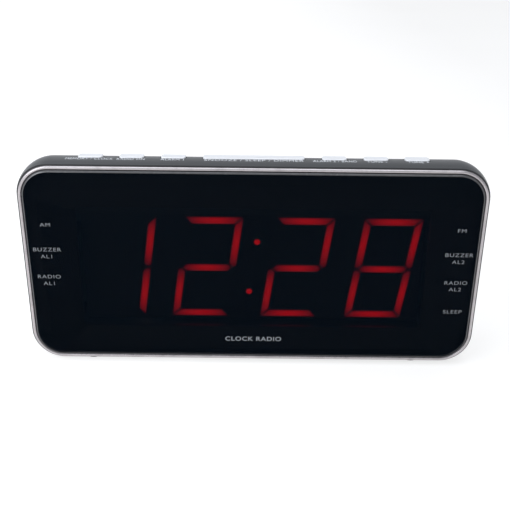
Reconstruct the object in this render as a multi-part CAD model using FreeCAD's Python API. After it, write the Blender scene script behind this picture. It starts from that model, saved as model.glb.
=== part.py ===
import FreeCAD, Part
import math
import os

os.makedirs("parts", exist_ok=True)

V = FreeCAD.Vector

# Frame: millimetres, +Z up, the display faces -Y.
# The origin is at the middle of the footprint, on the surface that the feet stand on.

# ---- driving dimensions -------------------------------------------------------------------

CASE_WIDTH = 190.6  # at the crest of the bulging sides
CASE_HEIGHT = 88.7
CASE_DEPTH = 46.0
CASE_CORNER = 13.7
BULGE = 0.7  # the rim is this much smaller all round than the crest
BULGE_DEPTH = 6.2  # rim to crest
FOOT_HEIGHT = 1.3
FOOT_SUNK = 0.6  # in the casing
FOOT_R = 4.6
FOOT_PEG_R = 1.5
WALL = 2.0
FIT = 0.3  # gap round a part that moves
SNUG = 0.05  # gap round a part that is pushed into place

LENS_WIDTH = 185.0
LENS_HEIGHT = 83.1
LENS_CORNER = 11.3
LENS_THICKNESS = 2.0
LENS_BEVEL = 0.7
LENS_GAP = 0.12  # between the lens and the bead
TAPE_OPENING = (164.0, 56.0, 4.0)  # width, height, corner

RIM_SETBACK = 1.8  # cabinet rim behind the lens face
RIM_WIDTH = 0.5
BEAD_SETBACK = 0.45  # crest of the bead behind the lens face
BEAD_ROUND = 0.62
TAPE_THICKNESS = 0.2
PANEL_THICKNESS = 1.6
DECK_DEPTH = 14.8  # lens face to the parting line

REAR_WIDTH = 177.0
REAR_TOP_DROP = 12.4
REAR_CORNER = 10.0
REAR_EDGE_ROUND = 2.6
GLAND_PROUD = 1.5
GLAND_NECK_R = 4.6
CORD_HOLE_R = 3.2
SCREW_SEAT_Y = 4.0

BUTTON_FRONT_RISE = 0.42  # above the crest of the case
BUTTON_REAR_RISE = 0.55
BUTTON_SETBACK = 11.0  # lens face to the middle of the button row
BUTTON_CORNER = 1.2
BUTTON_EDGE_ROUND = 0.35
BUTTON_DEPTH = 4.4
BUTTON_WIDTH = 9.9
SNOOZE_WIDTH = 40.9
BUTTON_CENTRES = {
    "preset_button": -65.8,
    "mode_button": -49.2,
    "alarm_one_button": -32.4,
    "snooze_button": 0.0,
    "alarm_two_button": 32.4,
    "tune_down_button": 49.2,
    "tune_up_button": 65.8,
}
BUTTON_TRAVEL = 0.5
BUTTON_OVERHANG = 1.1  # flange beyond the cap
STEM_WIDTH = 3.2
SWITCH_GAP = 0.2  # left between stem and plunger when a button is down

DISPLAY_RECESS = 7.5  # lens face to the digits
DIGIT_HEIGHT = 45.7
DIGIT_WIDTH = 24.2
DIGIT_STROKE = 3.0
DIGIT_GAP = 0.35
DIGIT_SLANT = math.tan(math.radians(8.0))
DIGIT_RIGHT_TOPS = (-39.9, -4.0, 34.0, 70.3)  # upper right corner of each digit
DIGITS_TOP = 20.0  # above the middle of the lens
SHOWN = ("bc", "abged", "abged", "abcdefg")
COLON_DOTS = ((1.7, 9.0), (-1.5, -13.9))
DOT_RADIUS = 1.3
HOUSING_DEPTH = 8.0
HOUSING_X = 71.5
CHIP_SPACE = 1.2  # between the ends of the segments and the display board

BOARD_THICKNESS = 1.6
KEY_BOARD_DROP = 14.5  # top of the case to the key board
CORE_WIDTH = 35.0
CORE_HEIGHT = 29.0
CORE_STACK = 14.0
CORE_LIMB = 11.0
BOBBIN_WIDTH = 22.0
BOBBIN_HEIGHT = 17.0
STRAP_THICKNESS = 0.8
CELL_R = 5.2
CELL_LENGTH = 43.5
ROD_R = 3.6
SPEAKER_R = 25.5
MAGNET_R = 11.0

# ---- places worked out from them ----------------------------------------------------------

FRONT_Y = -CASE_DEPTH / 2
RIM_Y = FRONT_Y + RIM_SETBACK
LENS_BACK_Y = FRONT_Y + LENS_THICKNESS
PANEL_Y = LENS_BACK_Y + TAPE_THICKNESS
PANEL_BACK_Y = PANEL_Y + PANEL_THICKNESS
PARTING_Y = FRONT_Y + DECK_DEPTH
BACK_Y = CASE_DEPTH / 2 - GLAND_PROUD
BOTTOM_Z = FOOT_HEIGHT
TOP_Z = BOTTOM_Z + CASE_HEIGHT
MID_Z = BOTTOM_Z + CASE_HEIGHT / 2
DECK_UNDER_Z = TOP_Z - WALL
INNER_BACK_Y = BACK_Y - WALL

DISPLAY_Y = FRONT_Y + DISPLAY_RECESS
DISPLAY_BOARD_Y = DISPLAY_Y + HOUSING_DEPTH
HOUSING_Z0 = MID_Z - 27.3
HOUSING_Z1 = MID_Z + 22.6
DISPLAY_SCREWS = [(x, MID_Z + dz) for x in (-74.5, 74.5) for dz in (-26.0, 12.0)]

BUTTON_Y = FRONT_Y + BUTTON_SETBACK
BUTTON_FRONT_Y = BUTTON_Y - BUTTON_DEPTH / 2
BUTTON_REAR_Y = BUTTON_Y + BUTTON_DEPTH / 2
KEY_BOARD_Z = TOP_Z - KEY_BOARD_DROP
SWITCH_TOP_Z = KEY_BOARD_Z + BOARD_THICKNESS + 5.0
KEY_SCREWS = (-75.6, -23.95, 23.95, 75.6)

SCREW_PLACES = [(x, z) for x in (-80.0, 80.0) for z in (10.0, 69.5)]
FOOT_PLACES = [(x, y) for x in (-70.0, 70.0) for y in (-14.0, 13.0)]
INDICATORS = [(-77.5, z) for z in (18.4, 6.0, -5.7)] + [(77.5, z) for z in (18.0, 5.9, -6.5, -18.9)]
GLAND_X, GLAND_Z = -52.0, 10.0
AERIAL_EXIT = (-84.0, 20.0)

SPEAKER_X, SPEAKER_Z = 49.0, 38.5
SPEAKER_FLANGE_Y = INNER_BACK_Y - 1.2
SPEAKER_SCREWS = []
for degrees in (50, 140, 230, 320):
    turn = math.radians(degrees)
    SPEAKER_SCREWS.append((SPEAKER_X + 28.3 * math.cos(turn), SPEAKER_Z + 28.3 * math.sin(turn)))

BATTERY_X0, BATTERY_X1 = -40.0, 12.0
BATTERY_Z0, BATTERY_Z1 = 8.0, 32.0
BATTERY_X = (BATTERY_X0 + BATTERY_X1) / 2
BATTERY_Z = (BATTERY_Z0 + BATTERY_Z1) / 2
POCKET_Y = BACK_Y - 14.0
POCKET_WALL = 1.6
DOOR_LEDGE = 4.0  # the door is this much wider and higher than the pocket
DOOR_RECESS = 1.0
DOOR_CORNER = 2.0

MAIN_BOARD_Y = 2.0
MAIN_BOARD_BACK_Y = MAIN_BOARD_Y + BOARD_THICKNESS
MAIN_BOARD_X0, MAIN_BOARD_X1 = -46.0, 20.0
MAIN_BOARD_Z0, MAIN_BOARD_Z1 = 36.5, 69.0
BOARD_SCREWS = []
for x in (MAIN_BOARD_X0 + 4, MAIN_BOARD_X1 - 4):
    BOARD_SCREWS += [(x, MAIN_BOARD_Z0 + 4), (x, MAIN_BOARD_Z1 - 4)]

CORE_X, CORE_Z = -65.5, 35.0
CORE_BACK_Y = 13.0
CORE_SCREWS = [(CORE_X, CORE_Z - 19.5), (CORE_X, CORE_Z + 19.5)]
ROD_Y, ROD_Z = 3.0, 74.6


# ---- geometry helpers ---------------------------------------------------------------------

def outline(width, height, corner, y, x_mid=0.0, z_mid=MID_Z):
    """A closed rounded rectangle in the plane at this y."""
    x0, x1 = x_mid - width / 2, x_mid + width / 2
    z0, z1 = z_mid - height / 2, z_mid + height / 2
    k = corner * (1 - math.sqrt(0.5))
    corners = [
        ((x1 - corner, z0), (x1 - k, z0 + k), (x1, z0 + corner)),
        ((x1, z1 - corner), (x1 - k, z1 - k), (x1 - corner, z1)),
        ((x0 + corner, z1), (x0 + k, z1 - k), (x0, z1 - corner)),
        ((x0, z0 + corner), (x0 + k, z0 + k), (x0 + corner, z0)),
    ]
    edges = []
    for i, arc in enumerate(corners):
        a, b, c = [V(x, y, z) for x, z in arc]
        edges.append(Part.Arc(a, b, c).toShape())
        x, z = corners[(i + 1) % 4][0]
        edges.append(Part.LineSegment(c, V(x, y, z)).toShape())
    return Part.Wire(edges)


def slab(width, height, corner, y0, y1, x_mid=0.0, z_mid=MID_Z):
    """A rounded rectangle extruded from y0 to y1."""
    face = Part.Face(outline(width, height, corner, y0, x_mid, z_mid))
    return face.extrude(V(0, y1 - y0, 0))


def case_slab(inset, y0, y1):
    """The case outline, drawn in by inset all round."""
    return slab(CASE_WIDTH - 2 * inset, CASE_HEIGHT - 2 * inset, CASE_CORNER - inset, y0, y1)


def bulge_inset(y):
    """How far the cabinet's side stands inside the crest outline at this y."""
    return BULGE * (1 - (y - RIM_Y) / BULGE_DEPTH) ** 2


def bulging_shell(y0, y1, steps=6):
    """The cabinet's outer shape, its sides bowed like a shallow barrel."""
    rings = []
    for i in range(steps + 1):
        y = y0 + (y1 - y0) * i / steps
        inset = bulge_inset(y)
        rings.append(outline(CASE_WIDTH - 2 * inset, CASE_HEIGHT - 2 * inset, CASE_CORNER - inset, y))
    return Part.makeLoft(rings, True, False)


def box(x0, x1, y0, y1, z0, z1):
    return Part.makeBox(x1 - x0, y1 - y0, z1 - z0, V(x0, y0, z0))


def cyl_x(x0, x1, y, z, r):
    return Part.makeCylinder(r, x1 - x0, V(x0, y, z), V(1, 0, 0))


def cyl_y(x, z, y0, y1, r):
    return Part.makeCylinder(r, y1 - y0, V(x, y0, z), V(0, 1, 0))


def cyl_z(x, y, z0, z1, r):
    return Part.makeCylinder(r, z1 - z0, V(x, y, z0), V(0, 0, 1))


def cone_y(x, z, y0, y1, r0, r1):
    return Part.makeCone(r0, r1, y1 - y0, V(x, y0, z), V(0, 1, 0))


def prism_y(points, y0, y1):
    """A polygon of (x, z) points extruded from y0 to y1."""
    corners = [V(x, y0, z) for x, z in points]
    face = Part.Face(Part.makePolygon(corners + corners[:1]))
    return face.extrude(V(0, y1 - y0, 0))


def edges_at(shape, axis, value):
    """The edges that lie wholly in one plane across an axis."""
    found = []
    for edge in shape.Edges:
        b = edge.BoundBox
        low, high = {"y": (b.YMin, b.YMax), "z": (b.ZMin, b.ZMax)}[axis]
        if abs(low - value) < 1e-4 and abs(high - value) < 1e-4:
            found.append(edge)
    return found


def joined(shapes):
    first, rest = shapes[0], shapes[1:]
    return first.fuse(rest).removeSplitter() if rest else first


def save(name, *solids):
    """Write one node. Several solids stay separate in it."""
    pieces = [solid for shape in solids for solid in shape.Solids]
    shape = pieces[0] if len(pieces) == 1 else Part.makeCompound(pieces)
    if not shape.isValid():
        raise ValueError(name + " is not valid")
    shape.exportStep("parts/" + name + ".step")


def screw(seat, direction, length, head_r, shank_r):
    """A pan-head screw with a cross recess. Its head sits on the seat, its shank points along direction."""
    height = head_r * 0.75
    slot, arm = head_r * 0.22, head_r * 0.62
    head = Part.makeCylinder(head_r, height)
    head = head.makeFillet(height * 0.4, edges_at(head, "z", height))
    shank = Part.makeCylinder(shank_r, length, V(0, 0, -length))
    cross = box(-arm, arm, -slot, slot, height * 0.45, height + 0.5)
    cross = cross.fuse(box(-slot, slot, -arm, arm, height * 0.45, height + 0.5))
    made = head.fuse(shank).removeSplitter().cut(cross)
    made.Placement = FreeCAD.Placement(V(*seat), FreeCAD.Rotation(V(0, 0, -1), V(*direction)))
    return made


def wire_path(points, radius_share=0.45):
    """Straight runs joined by tangent arcs."""
    points = [V(*p) for p in points]
    edges = []
    start = points[0]
    for before, corner, after in zip(points, points[1:], points[2:]):
        run_in, run_out = corner - before, after - corner
        reach = radius_share * min(run_in.Length, run_out.Length)
        run_in.normalize()
        run_out.normalize()
        a, c = corner - run_in * reach, corner + run_out * reach
        turn = run_in.getAngle(run_out)
        radius = reach / math.tan(turn / 2)
        inward = run_out - run_in
        inward.normalize()
        b = corner + inward * (math.hypot(radius, reach) - radius)
        edges.append(Part.LineSegment(start, a).toShape())
        edges.append(Part.Arc(a, b, c).toShape())
        start = c
    edges.append(Part.LineSegment(start, points[-1]).toShape())
    return Part.Wire(edges)


def wire_tube(points, radius):
    """A round wire along a path, its section at right angles to the first run."""
    path = wire_path(points)
    start, direction = V(*points[0]), V(*points[1]) - V(*points[0])
    ring = Part.Wire(Part.makeCircle(radius, start, direction))
    return path.makePipeShell([ring], True, False)


# ---- enclosure ----------------------------------------------------------------------------

def button_width(name):
    return SNOOZE_WIDTH if name == "snooze_button" else BUTTON_WIDTH


def cabinet_posts():
    """Screw posts of the cabinet: corners, display board and key board."""
    posts = []
    for x, z in SCREW_PLACES:
        post = cyl_y(x, z, PANEL_BACK_Y - 0.2, PARTING_Y, 3.6)
        posts.append(post.cut(cyl_y(x, z, PANEL_BACK_Y + 1.0, PARTING_Y + 1, 1.4)))
    for x, z in DISPLAY_SCREWS:
        post = cyl_y(x, z, PANEL_BACK_Y - 0.2, DISPLAY_BOARD_Y, 2.4)
        posts.append(post.cut(cyl_y(x, z, PANEL_BACK_Y + 2.0, DISPLAY_BOARD_Y + 1, 1.0)))
    for x in KEY_SCREWS:
        post = cyl_z(x, BUTTON_Y, KEY_BOARD_Z + BOARD_THICKNESS, DECK_UNDER_Z + 0.2, 2.2)
        hole = cyl_z(x, BUTTON_Y, KEY_BOARD_Z, DECK_UNDER_Z - 3.0, 1.0)
        posts.append(post.cut(hole))
    return posts


def foot_seat(x, y):
    """The shallow seat and the peg hole of one foot."""
    seat_top = BOTTOM_Z + FOOT_SUNK
    seat = cyl_z(x, y, BOTTOM_Z - 1, seat_top, FOOT_R + SNUG)
    return seat.fuse(cyl_z(x, y, BOTTOM_Z, seat_top + 0.9, FOOT_PEG_R + SNUG))


def front_cabinet():
    shell = bulging_shell(RIM_Y, PARTING_Y)
    shell = shell.cut(case_slab(WALL, PANEL_BACK_Y, PARTING_Y + 1))
    shell = shell.cut(case_slab(BULGE + RIM_WIDTH, RIM_Y - 1, PANEL_Y))
    window_z = (HOUSING_Z0 + HOUSING_Z1) / 2
    window_height = HOUSING_Z1 - HOUSING_Z0 + 1.0
    window = slab(2 * HOUSING_X + 1, window_height, 1.5, PANEL_Y - 1, PANEL_BACK_Y + 1, 0, window_z)
    shell = shell.cut(window)
    shell = shell.fuse(cabinet_posts()).removeSplitter()
    cuts = []
    for name, x in BUTTON_CENTRES.items():
        cuts.append(button_body(x, button_width(name), FIT, DECK_UNDER_Z - 1, TOP_Z + 1))
    for x, dz in INDICATORS:
        cuts.append(cyl_y(x, MID_Z + dz, PANEL_Y - 1, PANEL_BACK_Y + 1, 1.6))
    for x, y in FOOT_PLACES:
        if y < PARTING_Y:
            cuts.append(foot_seat(x, y))
    save("front_cabinet", shell.cut(cuts))


def rear_loft(inset, y_front, y_back):
    """The tapering rear shape between two planes, drawn in by inset. Its base is almost level."""
    slope = REAR_TOP_DROP / (BACK_Y - PARTING_Y)
    seam = bulge_inset(PARTING_Y)
    width_at_seam, top_at_seam = CASE_WIDTH - 2 * seam, TOP_Z - seam
    rings = []
    for y in (y_front, y_back):
        t = (y - PARTING_Y) / (BACK_Y - PARTING_Y)
        width = width_at_seam + (REAR_WIDTH - width_at_seam) * t - 2 * inset
        top = top_at_seam - REAR_TOP_DROP * t - inset * math.hypot(1, slope)
        base = BOTTOM_Z + seam * (1 - t) + inset
        corner = CASE_CORNER + (REAR_CORNER - CASE_CORNER) * t - inset
        rings.append(outline(width, top - base, corner, y, 0, (top + base) / 2))
    return Part.makeLoft(rings, True, True)


def speaker_slots():
    """Level slots of the grille, each as long as the circle allows."""
    slots = []
    for i in range(-5, 6):
        dz = i * 4.0
        half = math.sqrt(23.0 ** 2 - dz ** 2)
        slots.append(slab(2 * half, 1.8, 0.89, INNER_BACK_Y - 0.5, BACK_Y + 1, SPEAKER_X, SPEAKER_Z + dz))
    return slots


def vent_slots():
    """Upright cooling slots behind the transformer."""
    slots = []
    for i in range(8):
        x = -82.0 + 4.4 * i
        slots.append(slab(1.8, 22.0, 0.89, INNER_BACK_Y - 0.5, BACK_Y + 1, x, 42.0))
    return slots


def battery_pocket_walls():
    wall = POCKET_WALL
    x0, x1 = BATTERY_X0 - wall, BATTERY_X1 + wall
    z0, z1 = BATTERY_Z0 - wall, BATTERY_Z1 + wall
    return box(x0, x1, POCKET_Y - wall, INNER_BACK_Y + 0.2, z0, z1)


def rear_posts():
    """Screw wells at the corners and posts for the board, the transformer and the speaker."""
    posts = []
    for x, z in SCREW_PLACES:
        posts.append(cyl_y(x, z, PARTING_Y + 0.1, INNER_BACK_Y + 0.2, 4.2))
    for x, z in BOARD_SCREWS:
        posts.append(cyl_y(x, z, MAIN_BOARD_BACK_Y, INNER_BACK_Y + 0.2, 2.6))
    for x, z in CORE_SCREWS:
        posts.append(cyl_y(x, z, CORE_BACK_Y, INNER_BACK_Y + 0.2, 3.0))
    for x, z in SPEAKER_SCREWS:
        posts.append(cyl_y(x, z, SPEAKER_FLANGE_Y, INNER_BACK_Y + 0.2, 2.4))
    return posts


def seam_tongue():
    """A low wall that laps inside the cabinet, left out along the top where the key board is."""
    y0, y1 = PARTING_Y - 3, PARTING_Y + 2
    tongue = case_slab(WALL + 0.1, PARTING_Y - 2.4, PARTING_Y + 1.4).cut(case_slab(WALL + 1.2, y0, y1))
    tongue = tongue.cut(box(-82, 82, y0, y1, MID_Z, TOP_Z))
    room = case_slab(WALL + 0.1, y0, PARTING_Y).fuse(rear_loft(WALL / 2, PARTING_Y, BACK_Y))
    return tongue.common(room)


def door_slab(inset, y0, y1):
    """The battery door's outline, drawn in by inset."""
    width = BATTERY_X1 - BATTERY_X0 + DOOR_LEDGE - 2 * inset
    height = BATTERY_Z1 - BATTERY_Z0 + DOOR_LEDGE - 2 * inset
    return slab(width, height, DOOR_CORNER - inset, y0, y1, BATTERY_X, BATTERY_Z)


def rear_cover():
    shell = rear_loft(0, PARTING_Y, BACK_Y)
    shell = shell.makeFillet(REAR_EDGE_ROUND, edges_at(shell, "y", BACK_Y))
    shell = shell.cut(rear_loft(WALL, PARTING_Y - 1, INNER_BACK_Y))
    shell = shell.fuse([seam_tongue(), battery_pocket_walls()] + rear_posts()).removeSplitter()
    cuts = speaker_slots() + vent_slots()
    cuts.append(box(BATTERY_X0, BATTERY_X1, POCKET_Y, BACK_Y + 1, BATTERY_Z0, BATTERY_Z1))
    cuts.append(door_slab(0, BACK_Y - DOOR_RECESS, BACK_Y + 1))
    cuts.append(cyl_y(GLAND_X, GLAND_Z, INNER_BACK_Y - 1, BACK_Y + 1, GLAND_NECK_R + SNUG))
    cuts.append(cyl_y(AERIAL_EXIT[0], AERIAL_EXIT[1], INNER_BACK_Y - 1, BACK_Y + 1, 1.1))
    for x, z in SCREW_PLACES:
        cuts.append(cyl_y(x, z, PARTING_Y - 1, BACK_Y, 1.7))
        cuts.append(cyl_y(x, z, SCREW_SEAT_Y, BACK_Y + 1, 3.1))
    for x, z in BOARD_SCREWS + SPEAKER_SCREWS:
        cuts.append(cyl_y(x, z, MAIN_BOARD_Y - 1, INNER_BACK_Y + 0.6, 1.0))
    for x, z in CORE_SCREWS:
        cuts.append(cyl_y(x, z, CORE_BACK_Y - 1, INNER_BACK_Y + 0.6, 1.3))
    for x, y in FOOT_PLACES:
        if y > PARTING_Y:
            cuts.append(foot_seat(x, y))
    save("rear_cover", shell.cut(cuts))


def front_frame():
    outer = case_slab(BULGE + RIM_WIDTH + SNUG, PANEL_Y, FRONT_Y + BEAD_SETBACK)
    width, height = LENS_WIDTH + 2 * LENS_GAP, LENS_HEIGHT + 2 * LENS_GAP
    inner = slab(width, height, LENS_CORNER + LENS_GAP, PANEL_Y + 1, FRONT_Y - 1)
    ring = outer.cut(inner)
    save("front_frame", ring.makeFillet(BEAD_ROUND, edges_at(ring, "y", FRONT_Y + BEAD_SETBACK)))


def front_lens():
    lens = slab(LENS_WIDTH, LENS_HEIGHT, LENS_CORNER, LENS_BACK_Y, FRONT_Y)
    save("front_lens", lens.makeChamfer(LENS_BEVEL, edges_at(lens, "y", FRONT_Y)))
    tape = slab(LENS_WIDTH - 1, LENS_HEIGHT - 1, LENS_CORNER - 0.5, LENS_BACK_Y, PANEL_Y)
    opening = slab(*TAPE_OPENING, LENS_BACK_Y - 1, PANEL_Y + 1, 0, MID_Z - 1.5)
    save("lens_tape", tape.cut(opening))


def rubber_feet():
    feet = []
    for x, y in FOOT_PLACES:
        top = FOOT_HEIGHT + FOOT_SUNK
        pad = cyl_z(x, y, 0, top, FOOT_R)
        pad = pad.makeFillet(0.5, edges_at(pad, "z", 0))
        feet.append(pad.fuse(cyl_z(x, y, top, top + 0.8, FOOT_PEG_R)).removeSplitter())
    save("rubber_feet", *feet)


def case_screws():
    places = [(x, SCREW_SEAT_Y, z) for x, z in SCREW_PLACES]
    save("case_screws", *[screw(place, (0, -1, 0), 18.0, 2.7, 1.38) for place in places])


def cord_gland():
    """A stepped bush pressed in the rear wall. The mains lead leaves through its bore."""
    neck = cyl_y(GLAND_X, GLAND_Z, INNER_BACK_Y - 1.6, BACK_Y, GLAND_NECK_R)
    collar = cyl_y(GLAND_X, GLAND_Z, BACK_Y, BACK_Y + GLAND_PROUD, 6.0)
    collar = collar.makeFillet(0.8, edges_at(collar, "y", BACK_Y + GLAND_PROUD))
    bore = cyl_y(GLAND_X, GLAND_Z, INNER_BACK_Y - 3, BACK_Y + 3, CORD_HOLE_R)
    nut = cyl_y(GLAND_X, GLAND_Z, INNER_BACK_Y - 1.6, INNER_BACK_Y - 0.05, 5.6)
    save("cord_gland", neck.fuse([collar, nut]).removeSplitter().cut(bore))


# ---- battery ------------------------------------------------------------------------------

def battery_door():
    """A snap-in cover with thumb ribs, two hooks below and a latch above."""
    door = door_slab(FIT, BACK_Y - DOOR_RECESS + 0.1, BACK_Y + 0.3)
    ribs = []
    for i in range(4):
        ribs.append(slab(8.0, 0.8, 0.39, BACK_Y + 0.2, BACK_Y + 0.8, BATTERY_X, BATTERY_Z1 - 5 - 2 * i))
    tab_y0, tab_y1 = BACK_Y - 3.4, BACK_Y - 0.8
    tabs = [box(BATTERY_X - 4, BATTERY_X + 4, tab_y0, tab_y1, BATTERY_Z1 - 1.6, BATTERY_Z1 - 0.4)]
    for x in (BATTERY_X - 15, BATTERY_X + 15):
        tabs.append(box(x - 3, x + 3, tab_y0, tab_y1, BATTERY_Z0 + 0.4, BATTERY_Z0 + 1.6))
    save("battery_door", door.fuse(ribs + tabs).removeSplitter())


def backup_cells():
    """Two cells head to tail, each between a plain contact and a sprung one."""
    y = POCKET_Y + 0.4 + CELL_R
    x0, x1 = BATTERY_X - CELL_LENGTH / 2, BATTERY_X + CELL_LENGTH / 2
    cells, contacts = [], []
    for turn, z in ((1, BATTERY_Z - CELL_R - 0.5), (-1, BATTERY_Z + CELL_R + 0.5)):
        body = cyl_x(x0, x1, y, z, CELL_R)
        tip = cyl_x(x1, x1 + 0.8, y, z, 1.9) if turn > 0 else cyl_x(x0 - 0.8, x0, y, z, 1.9)
        cells.append(body.fuse(tip).removeSplitter())
        for side, x in ((-1, BATTERY_X0), (1, BATTERY_X1)):
            a, b = (x, x + 0.4) if side < 0 else (x - 0.4, x)
            plate = box(a, b, POCKET_Y + 0.6, POCKET_Y + 10.6, z - 4.6, z + 4.6)
            if side * turn < 0:
                a, b = (x + 0.4, x0) if side < 0 else (x1, x - 0.4)
                plate = plate.fuse(contact_spring(a, b, y, z))
            contacts.append(plate)
    save("backup_cells", *cells)
    save("battery_contacts", *contacts)


def contact_spring(x0, x1, y, z):
    """A contact spring, as a hollow stack of touching turns."""
    turns = 5
    step = (x1 - x0) / turns
    rings = []
    for i in range(turns):
        rings.append(cyl_x(x0 + i * step, x0 + (i + 1) * step, y, z, 3.4 - 0.35 * (i % 2)))
    return joined(rings).cut(cyl_x(x0 + 0.2, x1 + 0.1, y, z, 2.2))


# ---- buttons ------------------------------------------------------------------------------

def button_body(x, width, grow, z0, z1):
    """A key's outline, grown all round: its cap, its flange or the slot that it rises through."""
    x0, x1 = x - width / 2 - grow, x + width / 2 + grow
    block = box(x0, x1, BUTTON_FRONT_Y - grow, BUTTON_REAR_Y + grow, z0, z1)
    uprights = [edge for edge in block.Edges if edge.BoundBox.ZLength > 0.5]
    return block.makeFillet(BUTTON_CORNER, uprights)


def above_buttons():
    """All that is above the sloping plane of the key tops."""
    slope = (BUTTON_REAR_RISE - BUTTON_FRONT_RISE) / BUTTON_DEPTH
    y0, y1 = BUTTON_FRONT_Y - 5, BUTTON_REAR_Y + 5
    z0 = TOP_Z + BUTTON_FRONT_RISE - 5 * slope
    z1 = TOP_Z + BUTTON_REAR_RISE + 5 * slope
    x = -CASE_WIDTH / 2
    corners = [V(x, y0, z0), V(x, y1, z1), V(x, y1, z1 + 10), V(x, y0, z1 + 10)]
    return Part.Face(Part.makePolygon(corners + corners[:1])).extrude(V(CASE_WIDTH, 0, 0))


def push_button(name, x):
    """A key cap whose top rises towards the back, on a flange and a stem."""
    width = button_width(name)
    cap = button_body(x, width, 0, DECK_UNDER_Z - 0.4, TOP_Z + 2).cut(above_buttons())
    cap = cap.makeFillet(BUTTON_EDGE_ROUND, [edge for edge in cap.Edges if edge.BoundBox.ZMin > TOP_Z])
    flange = button_body(x, width, BUTTON_OVERHANG, DECK_UNDER_Z - FIT - 1.0, DECK_UNDER_Z - FIT)
    stem_base = SWITCH_TOP_Z + BUTTON_TRAVEL + SWITCH_GAP
    half = STEM_WIDTH / 2
    stem = box(x - half, x + half, BUTTON_Y - half, BUTTON_Y + half, stem_base, DECK_UNDER_Z - 0.5)
    save(name, cap.fuse([flange, stem]).removeSplitter())


def keypad():
    for name, x in BUTTON_CENTRES.items():
        push_button(name, x)
    board = box(-79, 79, BUTTON_Y - 4.2, BUTTON_Y + 4.0, KEY_BOARD_Z, KEY_BOARD_Z + BOARD_THICKNESS)
    board = board.cut([cyl_z(x, BUTTON_Y, KEY_BOARD_Z - 1, KEY_BOARD_Z + 3, 1.3) for x in KEY_SCREWS])
    save("key_board", board)
    switches, plungers = [], []
    base = KEY_BOARD_Z + BOARD_THICKNESS
    for x in BUTTON_CENTRES.values():
        switches.append(box(x - 3, x + 3, BUTTON_Y - 3, BUTTON_Y + 3, base, base + 3.5)
                        .cut(cyl_z(x, BUTTON_Y, base + 3.0, base + 4, 1.8)))
        plungers.append(cyl_z(x, BUTTON_Y, base + 3.0, SWITCH_TOP_Z, 1.7))
    save("tact_switches", *switches)
    save("switch_plungers", *plungers)
    places = [(x, BUTTON_Y, KEY_BOARD_Z) for x in KEY_SCREWS]
    save("key_board_screws", *[screw(place, (0, 0, 1), 7.0, 2.0, 0.98) for place in places])


# ---- display ------------------------------------------------------------------------------

def segment_outlines():
    """The seven segments of one upright digit, from its lower left corner: (x, z) points."""
    w, h, t, g = DIGIT_WIDTH, DIGIT_HEIGHT, DIGIT_STROKE, DIGIT_GAP
    m = h / 2
    half = t / 2
    top = [(g, h), (w - g, h), (w - t - g, h - t), (t + g, h - t)]
    upper_right = [(w, h - g), (w, m + half * 0.6), (w - half, m + g), (w - t, m + half + g),
                   (w - t, h - t - g)]
    middle = [(half + g, m), (t + g, m + half), (w - t - g, m + half), (w - half - g, m),
              (w - t - g, m - half), (t + g, m - half)]
    upper_left = [(w - x, z) for x, z in reversed(upper_right)]
    return {
        "a": top,
        "b": upper_right,
        "c": [(x, h - z) for x, z in reversed(upper_right)],
        "d": [(x, h - z) for x, z in reversed(top)],
        "e": [(x, h - z) for x, z in reversed(upper_left)],
        "f": upper_left,
        "g": middle,
    }


def place_segment(points, right_top):
    """Slant a segment and put it in its digit, whose upper right corner is given."""
    base_z = MID_Z + DIGITS_TOP - DIGIT_HEIGHT
    placed = []
    for x, z in points:
        lean = (z - DIGIT_HEIGHT) * DIGIT_SLANT
        placed.append((right_top - DIGIT_WIDTH + x + lean, base_z + z))
    return placed


def display_module():
    lit, unlit = [], []
    for right_top, shown in zip(DIGIT_RIGHT_TOPS, SHOWN):
        for letter, points in segment_outlines().items():
            bar = prism_y(place_segment(points, right_top), DISPLAY_Y, DISPLAY_BOARD_Y - CHIP_SPACE)
            (lit if letter in shown else unlit).append(bar)
    dots = [cyl_y(x, MID_Z + z, DISPLAY_Y, DISPLAY_BOARD_Y - CHIP_SPACE, DOT_RADIUS) for x, z in COLON_DOTS]
    block = box(-HOUSING_X, HOUSING_X, DISPLAY_Y, DISPLAY_BOARD_Y, HOUSING_Z0, HOUSING_Z1)
    block = block.makeChamfer(0.5, edges_at(block, "y", DISPLAY_Y))
    chip_room = box(-HOUSING_X + 1.5, HOUSING_X - 1.5, DISPLAY_BOARD_Y - CHIP_SPACE, DISPLAY_BOARD_Y + 1,
                    HOUSING_Z0 + 0.6, HOUSING_Z1 - 0.9)
    save("display_housing", block.cut(lit + unlit + dots + [chip_room]))
    save("segments_lit", *lit)
    save("segments_unlit", *unlit)
    save("colon_dots", *dots)
    board = box(-80, 80, DISPLAY_BOARD_Y, DISPLAY_BOARD_Y + BOARD_THICKNESS, MID_Z - 29, MID_Z + 29)
    board = board.cut([cyl_y(x, z, DISPLAY_BOARD_Y - 1, DISPLAY_BOARD_Y + 3, 1.3) for x, z in DISPLAY_SCREWS])
    corner_clear = [cyl_y(x, z, DISPLAY_BOARD_Y - 1, DISPLAY_BOARD_Y + 3, 4.7) for x, z in SCREW_PLACES]
    save("display_board", board.cut(corner_clear))
    back = DISPLAY_BOARD_Y + BOARD_THICKNESS
    save("display_screws", *[screw((x, back, z), (0, -1, 0), 7.0, 2.0, 0.98) for x, z in DISPLAY_SCREWS])
    save("indicator_leds", *[indicator(x, MID_Z + dz) for x, dz in INDICATORS])


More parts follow.
